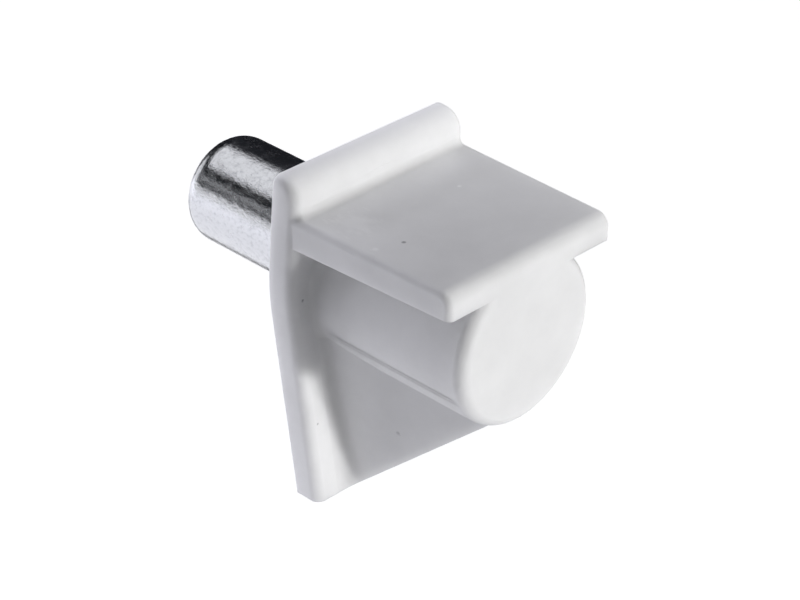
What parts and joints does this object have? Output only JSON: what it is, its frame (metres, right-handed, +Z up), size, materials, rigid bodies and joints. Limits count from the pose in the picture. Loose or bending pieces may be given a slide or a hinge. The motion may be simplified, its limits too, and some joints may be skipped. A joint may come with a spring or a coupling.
{
  "type": "shelf support pin",
  "caption": "Moulded shelf support with a flat ledge, back plate and gusseted round boss, held in a cabinet side by a bright steel pin.",
  "frame": {"origin": "where the pin's axis crosses the wall plane, at the back face of the plate", "axes": "+X out of the wall along the ledge, -X along the pin into the wall, +Y across the width, +Z up"},
  "size_m": [0.0183, 0.0104, 0.0165],
  "materials": {
    "white_plastic": "satin moulded",
    "plated_steel": "bright zinc plate"
  },
  "bodies": {
    "root": {"support_body": "white_plastic", "steel_pin": "plated_steel"}
  },
  "joints": []
}
